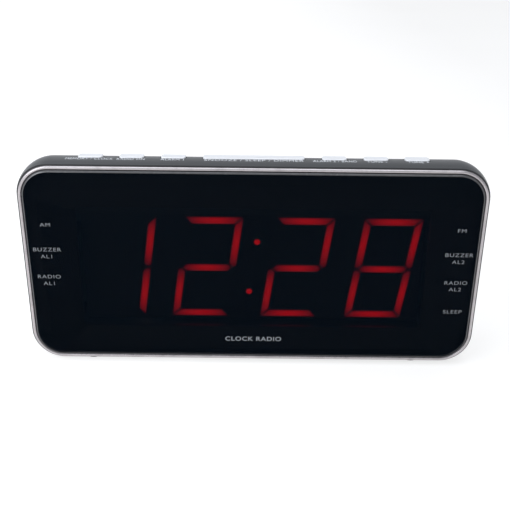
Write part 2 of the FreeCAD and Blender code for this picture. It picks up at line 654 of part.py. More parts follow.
def indicator(x, z):
    """A 3 mm lamp on its legs, its dome in the panel hole."""
    y0 = PANEL_BACK_Y - 0.2
    y1 = y0 + 4.0
    radius, half_leg = 1.45, 0.25
    pieces = [Part.makeSphere(radius, V(x, y0, z)), cyl_y(x, z, y1 - 0.8, y1, 1.8)]
    for leg_x in (x - 1.0, x + 1.0):
        leg = box(leg_x - half_leg, leg_x + half_leg, y1 - 0.1, DISPLAY_BOARD_Y, z - half_leg, z + half_leg)
        pieces.append(leg)
    return cyl_y(x, z, y0, y1, radius).fuse(pieces).removeSplitter()


# ---- main board ---------------------------------------------------------------------------

def main_board():
    back = MAIN_BOARD_BACK_Y
    board = box(MAIN_BOARD_X0, MAIN_BOARD_X1, MAIN_BOARD_Y, back, MAIN_BOARD_Z0, MAIN_BOARD_Z1)
    board = board.cut([cyl_y(x, z, MAIN_BOARD_Y - 1, back + 1, 1.3) for x, z in BOARD_SCREWS])
    save("main_board", board)
    places = [(x, MAIN_BOARD_Y, z) for x, z in BOARD_SCREWS]
    save("main_board_screws", *[screw(place, (0, 1, 0), 7.0, 2.0, 0.98) for place in places])
    chips = [chip(-22.0, 46.0, 17.0, 6.4), chip(-15.0, 59.0, 21.0, 8.0), chip(2.5, 60.0, 9.0, 6.4)]
    save("integrated_circuits", *chips)
    cans = [(-36.0, 47.0, 4.0, 11.0), (-36.0, 57.5, 4.0, 11.0), (3.0, 47.6, 3.2, 11.5),
            (10.5, 47.6, 3.2, 11.5), (-29.5, 61.0, 2.5, 7.0)]
    save("capacitors", *[capacitor(x, z, r, length, back) for x, z, r, length in cans])
    coils = []
    for i in range(3):
        x = -9.0 + 8.4 * i
        can = box(x - 3.5, x + 3.5, back, back + 11.0, 37.8, 43.6)
        coils.append(can.cut(cyl_y(x, 40.7, back + 9.0, back + 12, 2.0)))
    save("tuning_coils", *coils)
    crystal = slab(11.0, 4.6, 2.2, back, back + 3.6, -16.0, 52.6)
    save("crystal", crystal.makeFillet(0.4, edges_at(crystal, "y", back + 3.6)))
    sink = box(-44.6, -40.6, back, back + 12.0, 46.5, 60.5)
    fins = [box(-44.0, -42.0, back + 1, back + 13.0, 47.4 + 2.0 * i, 48.4 + 2.0 * i) for i in range(6)]
    save("voltage_regulator", sink.cut(fins))
    x, z = 13.4, 56.0
    save("buzzer", cyl_y(x, z, back, back + 9.0, 5.0).cut(cyl_y(x, z, back + 7.5, back + 10, 1.0)))


def chip(x, z, width, height):
    """A dual-row circuit: a moulded body on two rows of legs."""
    back = MAIN_BOARD_BACK_Y
    half = height / 2 - 0.6
    body = box(x - width / 2, x + width / 2, back + 0.6, back + 3.6, z - half, z + half)
    body = body.cut(cyl_y(x - width / 2, z, back + 3.0, back + 4, 0.8))
    legs = []
    count = int(width / 2.0)
    for i in range(count):
        leg_x = x + (i - (count - 1) / 2) * 2.0
        for side in (-1, 1):
            z0, z1 = sorted((z + side * (height / 2 - 0.8), z + side * (height / 2 - 0.2)))
            legs.append(box(leg_x - 0.3, leg_x + 0.3, back, back + 1.8, z0, z1))
    return body.fuse(legs).removeSplitter()


def capacitor(x, z, r, length, y0):
    """An upright electrolytic can with a rolled groove and a scored top."""
    can = cyl_y(x, z, y0, y0 + length, r)
    can = can.makeFillet(0.4, edges_at(can, "y", y0 + length))
    groove = cyl_y(x, z, y0 + 1.4, y0 + 1.9, r + 1).cut(cyl_y(x, z, y0 + 1.3, y0 + 2.0, r - 0.3))
    score = box(x - r * 0.6, x + r * 0.6, y0 + length - 0.2, y0 + length + 1, z - 0.15, z + 0.15)
    return can.cut([groove, score])


# ---- transformer --------------------------------------------------------------------------

def transformer():
    """A laminated core with a bobbin on its middle limb, held to the rear cover by a strap."""
    y0, y1 = CORE_BACK_Y - CORE_STACK, CORE_BACK_Y
    strap_y = y1 - STRAP_THICKNESS
    x0, x1 = CORE_X - CORE_WIDTH / 2, CORE_X + CORE_WIDTH / 2
    z0, z1 = CORE_Z - CORE_HEIGHT / 2, CORE_Z + CORE_HEIGHT / 2
    reel_x0, reel_x1 = CORE_X - BOBBIN_WIDTH / 2, CORE_X + BOBBIN_WIDTH / 2
    reel_z0, reel_z1 = CORE_Z - BOBBIN_HEIGHT / 2, CORE_Z + BOBBIN_HEIGHT / 2
    limb_x0, limb_x1 = CORE_X - CORE_LIMB / 2, CORE_X + CORE_LIMB / 2

    windows = []
    for a, b in ((reel_x0 - 0.2, limb_x0), (limb_x1, reel_x1 + 0.2)):
        windows.append(box(a, b, y0 - 1, y1 + 1, reel_z0 - 0.2, reel_z1 + 0.2))
    save("transformer_core", box(x0, x1, y0, strap_y, z0, z1).cut(windows))

    strap = box(x0, x1, strap_y, y1, CORE_Z - 22.5, CORE_Z + 22.5)
    cuts = [box(reel_x0 - 0.3, reel_x1 + 0.3, y1 - 2, y1 + 1, reel_z0 - 0.3, reel_z1 + 0.3)]
    for z in (z0 - 9.0, z1):
        cuts.append(box(x0 - 1, CORE_X - 5, y1 - 2, y1 + 1, z, z + 9))
        cuts.append(box(CORE_X + 5, x1 + 1, y1 - 2, y1 + 1, z, z + 9))
    cuts += [cyl_y(x, z, y1 - 2, y1 + 1, 1.7) for x, z in CORE_SCREWS]
    save("transformer_strap", strap.cut(cuts))

    tube = box(limb_x0 - 0.8, limb_x1 + 0.8, y0 - 0.8, y1, reel_z0, reel_z1)
    flanges = [box(reel_x0, reel_x1, y0 - 4.6, y1 + 3.8, z, z + 1.0) for z in (reel_z0, reel_z1 - 1.0)]
    limb = box(limb_x0, limb_x1, y0, strap_y, reel_z0 - 1, reel_z1 + 1)
    save("transformer_bobbin", tube.fuse(flanges).removeSplitter().cut(limb))

    coil = box(reel_x0 + 0.6, reel_x1 - 0.6, y0 - 4.0, y1 + 3.2, reel_z0 + 1.0, reel_z1 - 1.0)
    coil = coil.makeFillet(2.0, [edge for edge in coil.Edges if edge.BoundBox.ZLength > 5])
    save("transformer_windings", coil.cut(tube))
    places = [(x, strap_y, z) for x, z in CORE_SCREWS]
    save("transformer_screws", *[screw(place, (0, 1, 0), 6.0, 2.6, 1.28) for place in places])


# ---- aerial -------------------------------------------------------------------------------

def aerial():
    """A ferrite rod in two holders on the main board's top edge, with one coil."""
    save("ferrite_rod", cyl_x(-42, 16, ROD_Y, ROD_Z, ROD_R))
    turns = []
    for i in range(12):
        turns.append(cyl_x(-20.0 + i, -19.0 + i, ROD_Y, ROD_Z, 4.5 - 0.25 * (i % 2)))
    coil = joined(turns).cut(cyl_x(-21, -7, ROD_Y, ROD_Z, ROD_R + 0.2))
    save("ferrite_coil", coil)
    holders = []
    for x in (-36.0, 10.0):
        block = box(x - 2.5, x + 2.5, ROD_Y - 4.8, ROD_Y + 4.8, MAIN_BOARD_Z1, ROD_Z + 2.0)
        holders.append(block.cut(cyl_x(x - 4, x + 4, ROD_Y, ROD_Z, ROD_R + 0.02)))
    save("ferrite_holders", *holders)


# ---- loudspeaker --------------------------------------------------------------------------

def loudspeaker():
    """A shallow speaker that faces the grille: basket, cone, dust cap, magnet and back plate."""
    x, z, y1 = SPEAKER_X, SPEAKER_Z, INNER_BACK_Y
    ledge_y = y1 - 1.4
    seat_y0, seat_y1 = y1 - 10.0, y1 - 9.0
    rim = cyl_y(x, z, SPEAKER_FLANGE_Y, y1, SPEAKER_R)
    flare = cone_y(x, z, seat_y1, SPEAKER_FLANGE_Y, 14.0, SPEAKER_R - 1.5)
    seat = cyl_y(x, z, seat_y0, seat_y1, 14.0)
    hollow = cone_y(x, z, y1 - 8.2, ledge_y, 12.6, SPEAKER_R - 3.7)
    hollow = hollow.fuse(cyl_y(x, z, ledge_y, y1 + 1, SPEAKER_R - 2.5))
    cuts = [hollow, cyl_y(x, z, y1 - 11, y1, 8.4)]
    for i in range(4):
        window = box(x - 5.5, x + 5.5, y1 - 8.0, y1 - 3.2, z + 8.0, z + 40.0)
        window.rotate(V(x, 0, z), V(0, 1, 0), 90 * i + 5)
        cuts.append(window)
    save("speaker_basket", rim.fuse([flare, seat]).removeSplitter().cut(cuts))

    outer = cone_y(x, z, y1 - 7.0, ledge_y, 7.2, SPEAKER_R - 4.4)
    inner = cone_y(x, z, y1 - 6.5, ledge_y + 0.01, 7.0, SPEAKER_R - 4.7)
    surround = cyl_y(x, z, ledge_y, ledge_y + 0.5, SPEAKER_R - 2.6)
    surround = surround.cut(cyl_y(x, z, y1 - 2, y1, SPEAKER_R - 5.0))
    save("speaker_cone", outer.cut(inner).fuse(surround).removeSplitter())
    dome = Part.makeSphere(9.0, V(x, y1 - 11.2, z))
    save("speaker_dust_cap", dome.common(cyl_y(x, z, y1 - 5.6, y1, 6.8)))

    magnet_y = seat_y0 - 6.6
    magnet = cyl_y(x, z, magnet_y, seat_y0, MAGNET_R)
    save("speaker_magnet", magnet.makeFillet(0.5, edges_at(magnet, "y", magnet_y)))
    save("speaker_back_plate", cyl_y(x, z, magnet_y - 1.2, magnet_y, MAGNET_R - 1.0))

    clamp_y = SPEAKER_FLANGE_Y - 0.9
    clamps, screws = [], []
    for sx, sz in SPEAKER_SCREWS:
        hole = cyl_y(sx, sz, clamp_y - 1, SPEAKER_FLANGE_Y + 1, 1.3)
        clamps.append(cyl_y(sx, sz, clamp_y, SPEAKER_FLANGE_Y, 4.2).cut(hole))
        screws.append(screw((sx, clamp_y, sz), (0, 1, 0), 2.4, 2.0, 0.98))
    save("speaker_clamps", *clamps)
    save("speaker_screws", *screws)


# ---- internal wiring ----------------------------------------------------------------------

def ribbon(x, width, points, thickness=0.5):
    """A flat cable of constant width, bent in the (y, z) plane along the points."""
    half = thickness / 2
    left, right = [], []
    for i, (y, z) in enumerate(points):
        y0, z0 = points[max(i - 1, 0)]
        y1, z1 = points[min(i + 1, len(points) - 1)]
        length = math.hypot(y1 - y0, z1 - z0)
        ny, nz = -(z1 - z0) / length * half, (y1 - y0) / length * half
        left.append(V(x, y + ny, z + nz))
        right.append(V(x, y - ny, z - nz))
    loop = left + right[::-1]
    return Part.Face(Part.makePolygon(loop + loop[:1])).extrude(V(width, 0, 0))


def display_ribbon():
    """A short ribbon arched between the display board and the main board."""
    front_y = DISPLAY_BOARD_Y + BOARD_THICKNESS
    gap = MAIN_BOARD_Y - front_y
    z, arch, steps = 52.0, 4.0, 12
    bend = [(front_y, z)]
    for i in range(steps + 1):
        share = i / steps
        bend.append((front_y + 0.6 + (gap - 1.2) * share, z + arch * math.sin(math.pi * share)))
    bend.append((MAIN_BOARD_Y, z))
    save("display_ribbon", ribbon(-12.0, 18.0, bend))


def key_ribbon():
    """From the key board's rear edge over and down, then back to the main board."""
    edge_y, edge_z = BUTTON_Y + 4.0, KEY_BOARD_Z + BOARD_THICKNESS / 2
    over_r, under_r = 3.6, 3.5
    drop_y, board_z, steps = -2.6, 62.0, 8
    drop = [(edge_y, edge_z), (edge_y + 1.0, edge_z)]
    for i in range(steps + 1):
        turn = math.pi / 2 * i / steps
        drop.append((drop_y - over_r * (1 - math.sin(turn)), edge_z - over_r * (1 - math.cos(turn))))
    for i in range(1, steps + 1):
        turn = math.pi / 2 * i / steps
        drop.append((drop_y + under_r * (1 - math.cos(turn)), board_z + under_r * (1 - math.sin(turn))))
    drop.append((MAIN_BOARD_Y, board_z))
    save("key_ribbon", ribbon(-30.0, 12.0, drop))


def speaker_leads():
    """Two round wires from the main board to the speaker."""
    y = MAIN_BOARD_Y
    leads = []
    for z in (46.0, 47.6):
        route = [(16.0, y, z), (16.0, y - 3.0, z), (24.0, y - 4.2, z + 6.0), (33.0, y - 2.6, z + 9.0),
                 (37.0, y + 1.0, z + 9.5)]
        leads.append(wire_tube(route, 0.6))
    save("speaker_leads", *leads)


front_cabinet()
rear_cover()
front_frame()
front_lens()
rubber_feet()
case_screws()
cord_gland()
battery_door()
backup_cells()
keypad()
display_module()
main_board()
transformer()
aerial()
loudspeaker()
display_ribbon()
key_ribbon()
speaker_leads()
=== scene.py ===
import math

import bmesh
import bpy
from mathutils import Matrix, Vector


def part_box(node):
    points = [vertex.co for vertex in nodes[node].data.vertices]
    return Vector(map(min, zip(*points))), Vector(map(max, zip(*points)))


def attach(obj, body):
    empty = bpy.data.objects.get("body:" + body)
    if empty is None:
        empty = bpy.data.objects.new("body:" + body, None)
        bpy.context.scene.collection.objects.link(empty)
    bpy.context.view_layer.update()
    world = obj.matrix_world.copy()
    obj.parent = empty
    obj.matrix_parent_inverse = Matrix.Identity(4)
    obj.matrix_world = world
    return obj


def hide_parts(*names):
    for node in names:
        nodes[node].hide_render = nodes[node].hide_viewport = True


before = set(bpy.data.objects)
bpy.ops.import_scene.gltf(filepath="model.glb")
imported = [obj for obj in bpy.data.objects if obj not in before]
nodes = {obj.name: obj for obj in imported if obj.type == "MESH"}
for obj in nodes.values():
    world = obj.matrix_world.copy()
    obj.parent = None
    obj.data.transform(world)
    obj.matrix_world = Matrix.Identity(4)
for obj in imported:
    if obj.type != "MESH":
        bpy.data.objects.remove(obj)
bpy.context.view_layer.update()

# The clock radio's visible pieces, their finishes and the studio round them, in metres.

MM = 0.001

# ---- places read from the frame -----------------------------------------------------------

lens_low, lens_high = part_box("front_lens")
LENS_WIDTH = lens_high.x - lens_low.x
LENS_HEIGHT = lens_high.z - lens_low.z
LENS_FACE_Y = lens_low.y
LENS_BACK_Y = lens_high.y
LENS_MID_Z = (lens_low.z + lens_high.z) / 2
LENS_CORNER = 11.3 * MM
LENS_BEVEL = 0.7 * MM
RIM_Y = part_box("front_cabinet")[0].y
CREST_Z = LENS_MID_Z + 44.35 * MM  # highest line of the arched top
BULGE = 0.7 * MM  # rise of the top from the rim to the crest
BULGE_DEPTH = 6.2 * MM  # from the rim back to the crest


def deck_z(y):
    """Height of the arched top of the cabinet at this y."""
    return CREST_Z - BULGE * (1 - (y - RIM_Y) / BULGE_DEPTH) ** 2


def deck_slope(y):
    """Angle at which the top rises towards the back."""
    return math.atan(2 * BULGE / BULGE_DEPTH * (1 - (y - RIM_Y) / BULGE_DEPTH))

# ---- camera -------------------------------------------------------------------------------

CAMERA_DISTANCE = 0.3223
CAMERA_PITCH = math.radians(23.56)
CAMERA_ROLL = math.radians(-0.64)
CAMERA_SIDE, CAMERA_UP = 0.95 * MM, 5.87 * MM
CAMERA_LENS = 55.06
SENSOR_WIDTH = 36.0  # millimetres, like the focal length


def add_camera():
    """The camera looks down at the middle of the lens, turned slightly about its own axis."""
    cp, sp = math.cos(CAMERA_PITCH), math.sin(CAMERA_PITCH)
    cr, sr = math.cos(CAMERA_ROLL), math.sin(CAMERA_ROLL)
    right = Vector((cr, -sr * sp, -sr * cp))
    up = Vector((sr, cr * sp, cr * cp))
    back = Vector((0, -cp, sp))
    data = bpy.data.cameras.new("camera")
    data.sensor_width = SENSOR_WIDTH
    data.lens = CAMERA_LENS
    camera = bpy.data.objects.new("camera", data)
    centre = Vector((0, LENS_FACE_Y, LENS_MID_Z))
    place = centre + back * CAMERA_DISTANCE + right * CAMERA_SIDE + up * CAMERA_UP
    turn = Matrix((right, up, back)).transposed().to_4x4()
    camera.matrix_world = Matrix.Translation(place) @ turn
    bpy.context.scene.collection.objects.link(camera)
    bpy.context.scene.camera = camera


add_camera()


# ---- materials ----------------------------------------------------------------------------

WAVE_REPEAT = 3.1416  # a wave texture of scale 1 / (3.14 x) repeats every x


class Finish:
    """A Principled material and the nodes that vary it. Coordinates are the object's, in metres."""

    def __init__(self, name, colour, roughness, **values):
        self.material = bpy.data.materials.new(name)
        self.material.use_nodes = True
        self.tree = self.material.node_tree
        self.shader = self.tree.nodes["Principled BSDF"]
        self.colour = colour
        self.set("Base Color", (*colour, 1.0))
        self.set("Roughness", roughness)
        for key, value in values.items():
            self.set(key.replace("_", " "), value)
        self.place = self.add("ShaderNodeTexCoord").outputs["Object"]
        self.height = None

    def set(self, socket, value):
        self.shader.inputs[socket].default_value = value

    def add(self, kind, **settings):
        node = self.tree.nodes.new(kind)
        for key, value in settings.items():
            setattr(node, key, value)
        return node

    def link(self, source, target):
        self.tree.links.new(source, target)

    def stretch(self, x, y, z):
        """Coordinates scaled by axis, so that a pattern runs along one of them."""
        mapping = self.add("ShaderNodeMapping")
        mapping.inputs["Scale"].default_value = (x, y, z)
        self.link(self.place, mapping.inputs["Vector"])
        return mapping.outputs["Vector"]

    def noise(self, size, detail=2.0, place=None):
        """Noise whose patches are about this wide, in metres."""
        node = self.add("ShaderNodeTexNoise")
        node.inputs["Scale"].default_value = 1.0 / size
        node.inputs["Detail"].default_value = detail
        self.link(place or self.place, node.inputs["Vector"])
        return node.outputs["Fac"]

    def spots(self, size, feature="F1"):
        """Distances in a pattern of cells about this wide, in metres."""
        node = self.add("ShaderNodeTexVoronoi", feature=feature)
        node.inputs["Scale"].default_value = 1.0 / size
        self.link(self.place, node.inputs["Vector"])
        return node.outputs["Distance"]

    def bands(self, size, direction, distortion=0.0):
        """Bands across one axis that repeat at this distance, in metres."""
        node = self.add("ShaderNodeTexWave", bands_direction=direction)
        node.inputs["Scale"].default_value = 1.0 / (size * WAVE_REPEAT)
        node.inputs["Distortion"].default_value = distortion
        self.link(self.place, node.inputs["Vector"])
        return node.outputs["Fac"]

    def spread(self, source, low, high, start=0.3, end=0.7):
        """A value taken from low to high as source goes from start to end."""
        node = self.add("ShaderNodeMapRange")
        node.inputs["From Min"].default_value = start
        node.inputs["From Max"].default_value = end
        node.inputs["To Min"].default_value = low
        node.inputs["To Max"].default_value = high
        self.link(source, node.inputs["Value"])
        return node.outputs["Result"]

    def tint(self, source, other, start=0.3, end=0.7):
        """Mix the present colour towards another one."""
        mix = self.add("ShaderNodeMix", data_type="RGBA")
        self.link(self.spread(source, 0.0, 1.0, start, end), mix.inputs["Factor"])
        target = self.shader.inputs["Base Color"]
        if target.is_linked:
            self.link(target.links[0].from_socket, mix.inputs["A"])
        else:
            mix.inputs["A"].default_value = (*self.colour, 1.0)
        mix.inputs["B"].default_value = (*other, 1.0)
        self.link(mix.outputs["Result"], target)
        return self

    def rough(self, source, low, high):
        """Vary the roughness from low to high."""
        self.link(self.spread(source, low, high), self.shader.inputs["Roughness"])
        return self

    def bump(self, source, depth, strength=1.0):
        """Relief of this depth in metres, on top of any bump before it."""
        node = self.add("ShaderNodeBump")
        node.inputs["Distance"].default_value = depth
        node.inputs["Strength"].default_value = strength
        self.link(source, node.inputs["Height"])
        if self.height is not None:
            self.link(self.height, node.inputs["Normal"])
        self.height = node.outputs["Normal"]
        self.link(self.height, self.shader.inputs["Normal"])
        return self


def textured_plastic(name, colour, roughness=0.5, grain=0.6 * MM, depth=0.010 * MM):
    """Moulded plastic with a fine satin grain and faint handling marks."""
    f = Finish(name, colour, roughness, Specular_IOR_Level=0.5)
    lighter = tuple(c * 1.15 for c in colour)
    f.tint(f.noise(14 * MM, 4.0), lighter, 0.35, 0.8)
    f.rough(f.noise(5 * MM, 3.0), roughness - 0.015, roughness + 0.02)
    return f.bump(f.noise(grain, 1.0), depth, 0.5)


def smooth_plastic(name, colour, roughness=0.35):
    """Moulded plastic with only a slight flow ripple."""
    f = Finish(name, colour, roughness)
    f.tint(f.noise(6 * MM, 3.0), tuple(c * 0.82 for c in colour), 0.45, 0.85)
    f.rough(f.noise(2 * MM), roughness - 0.06, roughness + 0.08)
    return f.bump(f.noise(0.5 * MM), 0.01 * MM, 0.3)


def metal(name, colour, roughness, along=(1, 1, 1), grain=0.3 * MM):
    """Metal with fine drawn lines and cloudy tarnish."""
    f = Finish(name, colour, roughness, Metallic=1.0)
    f.tint(f.noise(4 * MM, 4.0), tuple(c * 0.78 for c in colour), 0.45, 0.8)
    lines = f.noise(grain, 3.0, f.stretch(*along))
    f.rough(lines, roughness - 0.07, roughness + 0.1)
    return f.bump(lines, 0.006 * MM, 0.25)


def rubber(name):
    """Dull black rubber, dusty and finely pitted."""
    f = Finish(name, (0.018, 0.018, 0.019), 0.75, Specular_IOR_Level=0.3)
    f.tint(f.noise(1.5 * MM, 4.0), (0.045, 0.045, 0.045), 0.4, 0.8)
    f.rough(f.noise(0.8 * MM), 0.65, 0.88)
    return f.bump(f.noise(0.2 * MM), 0.03 * MM, 0.4)


def smoked_acrylic():
    """Gloss black window, dark enough to hide everything but what is lit behind it."""
    f = Finish("smoked_acrylic", (0.0007, 0.0024, 0.0052), 0.08,
               Specular_IOR_Level=0.024, Alpha=0.64)
    f.tint(f.noise(90 * MM, 2.0), (0.0010, 0.0030, 0.0063), 0.35, 0.75)
    f.rough(f.noise(9 * MM, 5.0), 0.05, 0.12)
    return f


def polished_edge():
    """The lens's bevelled edge: polished, so it catches the light from above and from the side."""
    f = Finish("lens_edge", (0.030, 0.031, 0.034), 0.22, Specular_IOR_Level=0.9)
    f.tint(f.noise(5 * MM, 3.0), (0.050, 0.051, 0.055), 0.35, 0.75)
    f.rough(f.noise(0.8 * MM, 3.0), 0.16, 0.3)
    return f


def glowing(name, bright, dim, strength):
    """Lit diffuser: the glow attribute is 1 over the lamp and falls to 0 at the ends."""
    f = Finish(name, (0.03, 0.002, 0.005), 0.4)
    glow = f.add("ShaderNodeAttribute", attribute_name="glow").outputs["Fac"]
    mix = f.add("ShaderNodeMix", data_type="RGBA")
    mix.inputs["A"].default_value = (*dim, 1.0)
    mix.inputs["B"].default_value = (*bright, 1.0)
    f.link(glow, mix.inputs["Factor"])
    f.link(mix.outputs["Result"], f.shader.inputs["Emission Color"])
    grain = f.spread(f.noise(1.6 * MM, 2.0), strength * 0.92, strength * 1.08)
    f.link(grain, f.shader.inputs["Emission Strength"])
    return f


def board(name):
    """Paper laminate with solder mask over a web of copper tracks."""
    f = Finish(name, (0.032, 0.11, 0.045), 0.42)
    tracks = f.spots(4.2 * MM, "DISTANCE_TO_EDGE")
    f.tint(tracks, (0.018, 0.058, 0.024), 0.09, 0.12)
    pads = f.spots(5.0 * MM)
    f.tint(f.spread(pads, 1.0, 0.0, 0.10, 0.13), (0.55, 0.56, 0.55), 0.4, 0.6)
    f.rough(f.noise(1.0 * MM), 0.34, 0.5)
    return f.bump(tracks, 0.04 * MM, 0.5)


def laminations(name):
    """Stacked steel sheets, each edge a fine line, with varnish stains."""
    f = Finish(name, (0.16, 0.16, 0.17), 0.5, Metallic=0.85)
    f.tint(f.noise(7 * MM, 4.0), (0.20, 0.12, 0.06), 0.5, 0.8)
    f.rough(f.noise(1.5 * MM), 0.4, 0.6)
    return f.bump(f.bands(0.5 * MM, "Y"), 0.1 * MM, 0.7)


def winding(name, colour, direction):
    """Enamelled wire wound turn by turn, with darker patches of varnish."""
    f = Finish(name, colour, 0.32, Metallic=0.7)
    f.tint(f.noise(3 * MM, 3.0), tuple(c * 0.6 for c in colour), 0.4, 0.8)
    f.rough(f.noise(0.8 * MM), 0.26, 0.42)
    return f.bump(f.bands(0.45 * MM, direction, 0.6), 0.12 * MM, 0.9)


def key_paint():
    """Silver-white paint: a soft metallic base with fine flake under a clear coat."""
    f = Finish("key_silver_paint", (0.66, 0.67, 0.70), 0.36,
               Metallic=0.25, Coat_Weight=0.3, Coat_Roughness=0.18)
    f.tint(f.spots(0.12 * MM), (0.76, 0.77, 0.79), 0.1, 0.5)
    f.rough(f.noise(0.25 * MM, 3.0), 0.3, 0.44)
    return f.bump(f.spots(0.16 * MM), 0.006 * MM, 0.35)


def cone_paper():
    """Pressed black paper: fibres and rings about the speaker's axis."""
    low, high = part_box("speaker_cone")
    f = Finish("cone_paper", (0.018, 0.018, 0.019), 0.85, Specular_IOR_Level=0.2)
    shift = f.add("ShaderNodeMapping")
    shift.inputs["Location"].default_value = (-(low.x + high.x) / 2, 0, -(low.z + high.z) / 2)
    f.link(f.place, shift.inputs["Vector"])
    rings = f.add("ShaderNodeTexWave", wave_type="RINGS", rings_direction="Y")
    rings.inputs["Scale"].default_value = 1 / (2.2 * MM * WAVE_REPEAT)
    f.link(shift.outputs["Vector"], rings.inputs["Vector"])
    f.tint(f.noise(0.8 * MM, 5.0), (0.05, 0.048, 0.045), 0.45, 0.8)
    f.rough(f.noise(0.5 * MM), 0.78, 0.92)
    return f.bump(rings.outputs["Fac"], 0.15 * MM, 0.6)


FINISHES = {
    "casing": textured_plastic("casing_anthracite", (0.020, 0.022, 0.025), 0.32),
    "bead": metal("bead_satin_silver", (0.49, 0.46, 0.47), 0.28, (1, 1, 1), 0.25 * MM),
    "lens": smoked_acrylic(),
    "edge": polished_edge(),
    "mask": smooth_plastic("mask_black", (0.0025, 0.0032, 0.0045), 0.7),
    "lit": glowing("segment_lit", (1.0, 0.002, 0.008), (0.09, 0.001, 0.008), 1.9),
    "unlit": smooth_plastic("segment_unlit", (0.0028, 0.0030, 0.0042), 0.7),
    "block": smooth_plastic("display_block", (0.0030, 0.0036, 0.0050), 0.7),
    "rubber": rubber("foot_rubber"),
    "zinc": metal("zinc_plate", (0.60, 0.60, 0.57), 0.32),
    "steel": metal("drawn_steel", (0.42, 0.42, 0.43), 0.38),
    "can": metal("coil_can", (0.70, 0.70, 0.71), 0.24, (1, 0.15, 1)),
    "board": board("circuit_board"),
    "black": smooth_plastic("black_moulding", (0.012, 0.012, 0.013), 0.45),
    "ivory": smooth_plastic("ivory_moulding", (0.62, 0.58, 0.48), 0.42),
    "sleeve": smooth_plastic("capacitor_sleeve", (0.012, 0.022, 0.085), 0.25),
    "sink": metal("heat_sink", (0.66, 0.67, 0.69), 0.4, (1, 0.1, 1)),
    "core": laminations("core_laminations"),
    "winding": winding("enamelled_copper", (0.45, 0.14, 0.05), "Z"),
    "coil": winding("aerial_coil_wire", (0.50, 0.19, 0.07), "X"),
    "ferrite": textured_plastic("ferrite", (0.035, 0.035, 0.038), 0.5, 0.5 * MM, 0.03 * MM),
    "cell": smooth_plastic("cell_jacket", (0.035, 0.12, 0.055), 0.28),
    "cable": smooth_plastic("cable_jacket", (0.33, 0.33, 0.35), 0.5),
    "clear": smooth_plastic("lamp_epoxy", (0.16, 0.012, 0.014), 0.2),
    "key": key_paint(),
    "cone": cone_paper(),
    "print": smooth_plastic("grey_print", (0.24, 0.25, 0.27), 0.55),
    "deck_print": smooth_plastic("deck_print", (0.70, 0.72, 0.75), 0.5),
}

NODE_FINISH = {
    "casing": ["front_cabinet", "rear_cover", "battery_door"],
    "bead": ["front_frame"],
    "lens": ["front_lens"],
    "key": [n for n in nodes if n.endswith("_button")],
    "rubber": ["rubber_feet", "cord_gland"],
    "mask": ["lens_tape"],
    "block": ["display_housing"],
    "lit": ["segments_lit", "colon_dots"],
    "unlit": ["segments_unlit"],
    "clear": ["indicator_leds"],
    "zinc": ["case_screws", "key_board_screws", "display_screws", "main_board_screws",
             "transformer_screws", "speaker_screws", "speaker_clamps", "battery_contacts", "crystal"],
    "steel": ["transformer_strap", "speaker_basket", "speaker_back_plate"],
    "can": ["tuning_coils"],
    "board": ["key_board", "display_board", "main_board"],
    "black": ["tact_switches", "integrated_circuits", "buzzer", "transformer_bobbin",
              "speaker_dust_cap"],
    "ivory": ["switch_plungers", "ferrite_holders"],
    "sleeve": ["capacitors"],
    "sink": ["voltage_regulator"],
    "core": ["transformer_core"],
    "winding": ["transformer_windings"],
    "coil": ["ferrite_coil"],
    "ferrite": ["ferrite_rod", "speaker_magnet"],
    "cone": ["speaker_cone"],
    "cell": ["backup_cells"],
    "cable": ["display_ribbon", "key_ribbon", "speaker_leads"],
}


def paint(piece, finish):
    """Give a piece this finish and no other."""
    piece.data.materials.clear()
    piece.data.materials.append(FINISHES[finish].material)


for finish, names in NODE_FINISH.items():
    for name in names:
        paint(nodes[name], finish)


# ---- mesh helpers -------------------------------------------------------------------------

def add_piece(name, mesh, body, finish, replaces=()):
    """A visible piece that rides on a body, in place of the CAD nodes it replaces."""
    piece = bpy.data.objects.new(name, mesh)
    bpy.context.scene.collection.objects.link(piece)
    paint(piece, finish)
    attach(piece, body)
    if replaces:
        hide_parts(*replaces)
    return piece


def smooth(mesh, angle=35.0):
    """Smooth shading, with sharp edges kept where faces meet at more than the angle."""
    bm = bmesh.new()
    bm.from_mesh(mesh)
    for face in bm.faces:
        face.smooth = True
    for edge in bm.edges:
        if len(edge.link_faces) == 2:
            edge.smooth = edge.calc_face_angle() < math.radians(angle)
    bm.to_mesh(mesh)
    bm.free()


def rounded_loop(width, height, corner, steps=14):
    """Points (a, b) round a rounded rectangle about the origin, anticlockwise."""
    points = []
    for i, (sx, sy) in enumerate(((1, -1), (1, 1), (-1, 1), (-1, -1))):
        cx, cy = sx * (width / 2 - corner), sy * (height / 2 - corner)
        for k in range(steps + 1):
            angle = math.pi / 2 * (i - 1 + k / steps)
            points.append((cx + corner * math.cos(angle), cy + corner * math.sin(angle)))
    return points


def bridge(bm, rows, ring=False):
    """Faces between rows of corners, closed by end faces or by joining the last row to the first."""
    count = len(rows[0])
    pairs = list(zip(rows, rows[1:]))
    if ring:
        pairs.append((rows[-1], rows[0]))
    for a, b in pairs:
        for i in range(count):
            j = (i + 1) % count
            bm.faces.new((a[i], a[j], b[j], b[i]))
    if not ring:
        bm.faces.new(rows[0][::-1])
        bm.faces.new(rows[-1])


def to_mesh(name, bm):
    """Turn the faces outwards and make a mesh of them."""
    bmesh.ops.recalc_face_normals(bm, faces=bm.faces[:])
    mesh = bpy.data.meshes.new(name)
    bm.to_mesh(mesh)
    bm.free()
    return mesh


def skin(name, loops, ring=False):
    """A smooth-shaded mesh through loops of points of equal length."""
    bm = bmesh.new()
    bridge(bm, [[bm.verts.new(p) for p in loop] for loop in loops], ring)
    mesh = to_mesh(name, bm)
    smooth(mesh)
    return mesh


